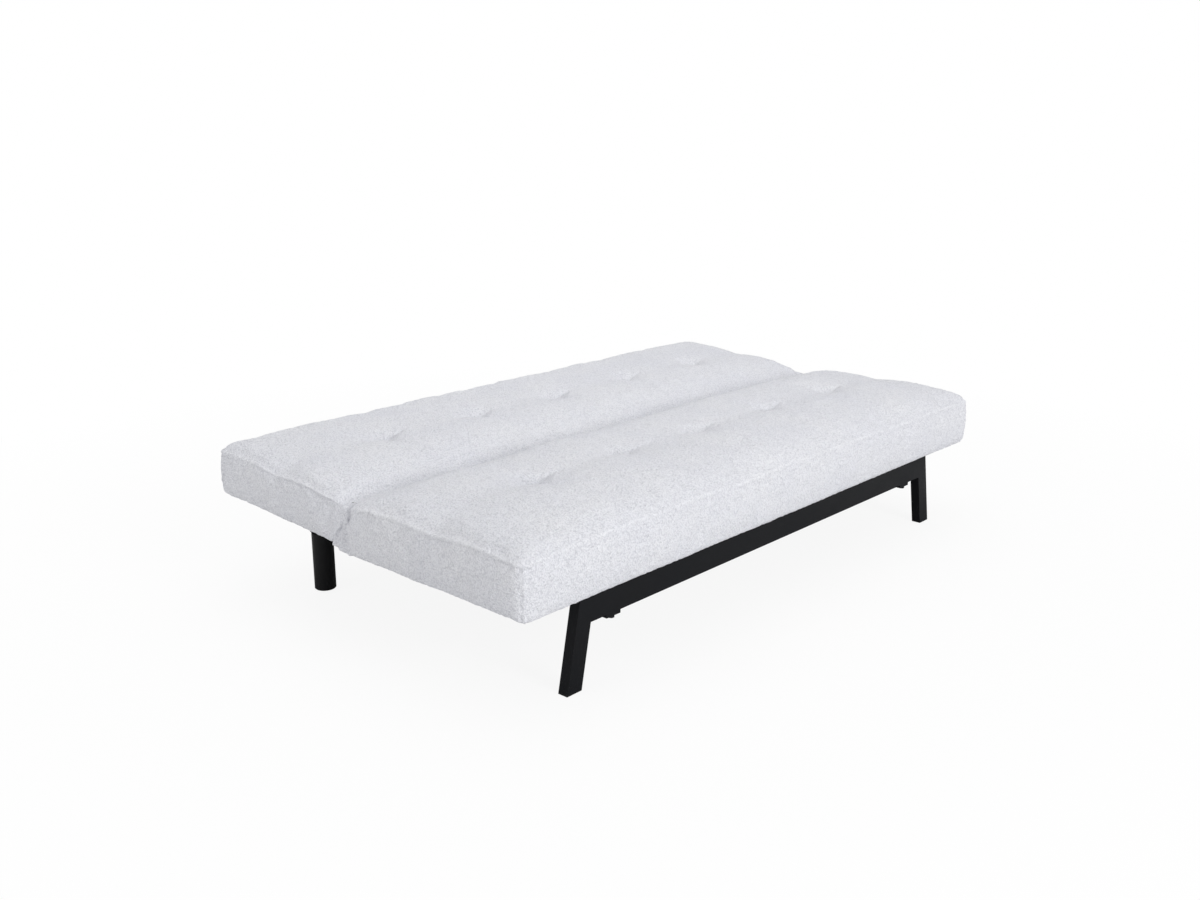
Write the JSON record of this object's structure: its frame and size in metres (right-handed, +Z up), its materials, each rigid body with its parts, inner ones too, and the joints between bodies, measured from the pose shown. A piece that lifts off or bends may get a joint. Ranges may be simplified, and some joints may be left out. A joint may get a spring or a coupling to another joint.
{
  "type": "click clack sofa bed",
  "caption": "Click clack sofa bed laid flat: long tufted cushions on a black steel base, the rear one folding up on ratchet hinges as a backrest.",
  "frame": {"origin": "on the floor, under the middle of the bounding box of the sofa bed laid flat", "axes": "+X along the length, +Y from the seat's front to the rear of the back, +Z up"},
  "size_m": [1.9, 1.1314, 0.4197],
  "materials": {
    "boucle": "matt curly pile",
    "black_steel": "satin powder coat",
    "black_plastic": "matt",
    "rubber": "matt",
    "zinc_steel": "zinc plated",
    "spring_steel": "oiled",
    "timber": "sawn softwood",
    "elastic_web": "woven belt",
    "dust_cloth": "black non-woven cloth"
  },
  "bodies": {
    "base": {"seat_cushion": "boucle", "end_gusset_left": "boucle", "end_gusset_right": "boucle", "front_leg_frame": "black_steel", "side_rail_left": "black_steel", "side_rail_right": "black_steel", "rear_crossbar": "black_steel", "rear_leg_plates": "black_steel", "front_foot_caps": "black_plastic", "crossbar_caps": "black_plastic", "rear_legs": "black_plastic", "rear_glides": "black_plastic", "back_bumpers": "rubber", "frame_bolts": "zinc_steel", "rear_leg_studs": "zinc_steel", "seat_arms": "zinc_steel", "seat_cheeks": "zinc_steel", "pivot_pins": "zinc_steel", "pawl_pins": "zinc_steel", "pawl_springs": "spring_steel", "seat_front_rail": "timber", "seat_rear_rail": "timber", "seat_end_rails": "timber", "seat_cross_rails": "timber", "seat_corner_blocks": "timber", "seat_webbing": "elastic_web", "seat_dust_cover": "dust_cloth"},
    "back": {"back_cushion": "boucle", "back_front_rail": "timber", "back_rear_rail": "timber", "back_end_rails": "timber", "back_cross_rails": "timber", "back_corner_blocks": "timber", "back_webbing": "elastic_web", "back_dust_cover": "dust_cloth", "back_arms": "zinc_steel"},
    "pawl_left": {"pawl_left": "zinc_steel"},
    "pawl_right": {"pawl_right": "zinc_steel"}
  },
  "joints": [
    {"name": "back_fold", "type": "hinge", "parent": "base", "child": "back", "pos_m": [0, 0.02944, 0.333], "axis": [1, 0, 0], "range_deg": [0, 78], "deforming": ["end_gusset_left", "end_gusset_right"]},
    {"name": "pawl_left_drop", "type": "hinge", "parent": "base", "child": "pawl_left", "pos_m": [-0.9193, -0.02656, 0.299], "axis": [1, 0, 0], "range_deg": [0, 8]},
    {"name": "pawl_right_drop", "type": "hinge", "parent": "base", "child": "pawl_right", "pos_m": [0.9193, -0.02656, 0.299], "axis": [1, 0, 0], "range_deg": [0, 8]}
  ]
}
